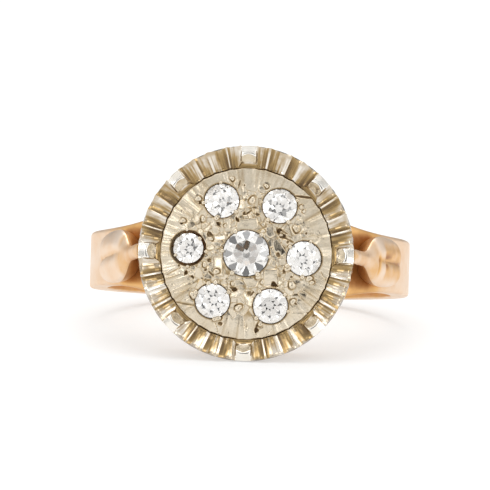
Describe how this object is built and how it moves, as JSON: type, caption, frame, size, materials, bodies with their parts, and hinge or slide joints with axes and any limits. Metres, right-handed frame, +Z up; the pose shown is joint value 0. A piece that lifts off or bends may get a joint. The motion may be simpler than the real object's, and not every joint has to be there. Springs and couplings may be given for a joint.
{
  "type": "cluster ring",
  "caption": "Finger ring with a round fluted head, a cluster of round brilliants on its domed plate, and a heart on each shoulder of the band.",
  "frame": {"origin": "centre of the finger hole, halfway across the band", "axes": "the ring lies on its side: +X across the ring, +Y from the head to the back of the band, +Z up from the surface that it lies on"},
  "size_m": [0.0196, 0.0231, 0.0127],
  "materials": {
    "rose_gold": "polished rose gold with worn edges",
    "white_gold": "bright-cut white gold, darkened in its cuts",
    "diamond": "polished facets"
  },
  "bodies": {
    "root": {"shank": "rose_gold", "setting": "white_gold", "centre_stone": "diamond", "side_stone_1": "diamond", "side_stone_2": "diamond", "side_stone_3": "diamond", "side_stone_4": "diamond", "side_stone_5": "diamond", "side_stone_6": "diamond"}
  },
  "joints": []
}
